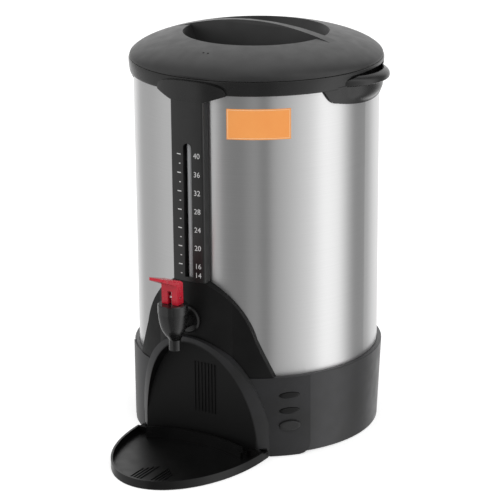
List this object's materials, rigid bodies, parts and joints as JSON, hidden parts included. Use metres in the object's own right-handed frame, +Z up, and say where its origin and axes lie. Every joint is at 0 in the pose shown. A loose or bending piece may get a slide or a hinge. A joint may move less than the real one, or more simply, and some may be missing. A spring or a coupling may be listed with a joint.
{
  "type": "coffee urn",
  "caption": "Electric percolating coffee urn: steel drum on a black base with cup niche, tap, level gauge, lift-off lid and drip tray.",
  "frame": {"origin": "on the drum's axis, at the level of the surface that the rubber feet stand on", "axes": "+Z up; the tap, level gauge and cup niche face -Y; +X to the right seen from the front"},
  "size_m": [0.2472, 0.3181, 0.3646],
  "materials": {
    "black_moulding": "satin",
    "brushed_drum": "satin",
    "inner_steel": "satin",
    "cast_heater": "matte",
    "zinc_hardware": "gloss",
    "soft_rubber": "matte",
    "silicone_seal": "matte",
    "clear_tube": "gloss",
    "red_lever": "gloss",
    "lamp_green": "gloss",
    "lamp_amber": "gloss",
    "button_black": "gloss",
    "spring_steel": "gloss",
    "pale_plastic": "matte",
    "brass_fitting": "satin"
  },
  "bodies": {
    "urn": {"base_ring": "black_moulding", "bottom_plate": "black_moulding", "rubber_feet": "soft_rubber", "base_screws": "zinc_hardware", "front_panel": "black_moulding", "panel_screws": "zinc_hardware", "front_shroud": "black_moulding", "gauge_column": "black_moulding", "sight_tube": "clear_tube", "sight_tube_cap": "soft_rubber", "gauge_elbow": "brass_fitting", "elbow_seal": "silicone_seal", "elbow_nut": "brass_fitting", "barrel_shell": "brushed_drum", "tank_floor": "inner_steel", "heater_plate": "cast_heater", "heating_element": "inner_steel", "heater_studs": "zinc_hardware", "heater_nuts": "zinc_hardware", "thermostat": "pale_plastic", "thermal_fuse": "pale_plastic", "top_collar": "black_moulding", "tap_body": "black_moulding", "tap_flange": "black_moulding", "tap_nut": "pale_plastic", "tap_outer_washer": "silicone_seal", "tap_inner_washer": "silicone_seal", "tap_bonnet": "black_moulding", "tap_spring": "spring_steel", "lamp_lens_upper": "lamp_amber", "lamp_lens_lower": "lamp_green", "lamp_holders": "pale_plastic", "switch_body": "pale_plastic", "cord_gland": "soft_rubber"},
    "lid": {"lid": "black_moulding"},
    "percolator": {"pump_tube": "inner_steel", "pump_foot": "inner_steel", "coffee_basket": "inner_steel"},
    "cover": {"basket_cover": "inner_steel"},
    "stem": {"valve_stem": "zinc_hardware", "seat_cup": "silicone_seal"},
    "lever": {"tap_lever": "red_lever", "lever_pin": "zinc_hardware"},
    "button": {"power_button": "button_black"},
    "tray": {"drip_tray": "black_moulding"}
  },
  "joints": [
    {"name": "lid_lift", "type": "slide", "parent": "urn", "child": "lid", "axis": [0, 0, 1], "range_m": [0, 0.3]},
    {"name": "percolator_lift", "type": "slide", "parent": "urn", "child": "percolator", "axis": [0, 0, 1], "range_m": [0, 0.255]},
    {"name": "cover_lift", "type": "slide", "parent": "percolator", "child": "cover", "axis": [0, 0, 1], "range_m": [0, 0.018]},
    {"name": "stem_lift", "type": "slide", "parent": "urn", "child": "stem", "axis": [0, 0, 1], "range_m": [0, 0.0022], "deforming": ["tap_spring"]},
    {"name": "lever_tilt", "type": "hinge", "parent": "stem", "child": "lever", "pos_m": [0, -0.1426, 0.1522], "axis": [1, 0, 0], "range_deg": [0, 30], "stiffness_Nm_per_rad": 0.02, "springref_deg": -11.46},
    {"name": "button_press", "type": "slide", "parent": "urn", "child": "button", "axis": [-0.6947, 0.7193, 0], "range_m": [0, 0.002], "stiffness_N_per_m": 600, "springref_m": -0.001},
    {"name": "tray_pull", "type": "slide", "parent": "urn", "child": "tray", "axis": [0, -1, 0], "range_m": [0, 0.05]}
  ],
  "couplings": [
    {"joint": "percolator_lift", "follows": "lid_lift", "ratio": 0.85},
    {"joint": "cover_lift", "follows": "lid_lift", "ratio": 0.06},
    {"joint": "stem_lift", "follows": "lever_tilt", "m_per_rad": 0.0042}
  ]
}
